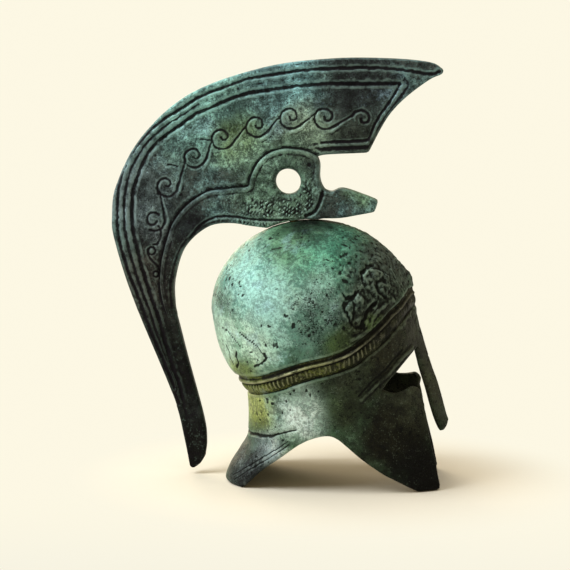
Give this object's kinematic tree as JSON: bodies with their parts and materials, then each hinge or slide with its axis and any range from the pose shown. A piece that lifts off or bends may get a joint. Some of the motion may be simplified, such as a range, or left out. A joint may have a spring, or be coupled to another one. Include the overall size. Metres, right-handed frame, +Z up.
{
  "type": "corinthian helmet with crest, cast-bronze miniature",
  "caption": "Small cast-bronze Corinthian helmet with a tall swept-back crest, an open hollow skull, a face slit with eye openings, and a green patina; it stands by itself.",
  "frame": {"origin": "on the surface that the helmet stands on, midway between the back of the crest and the tip of the nasal, in the plane of symmetry", "axes": "+X towards the face, +Y towards the wearer's left, +Z up"},
  "size_m": [0.1112, 0.0528, 0.1381],
  "materials": {
    "aged_bronze": "cast bronze with a turquoise and green patina, semi-matt",
    "dark_bronze": "cast bronze with a dark grey-green patina, semi-matt",
    "pin_bronze": "plain bronze"
  },
  "bodies": {
    "root": {"helmet_shell": "aged_bronze", "crest": "dark_bronze", "crest_pin": "pin_bronze"}
  },
  "joints": []
}
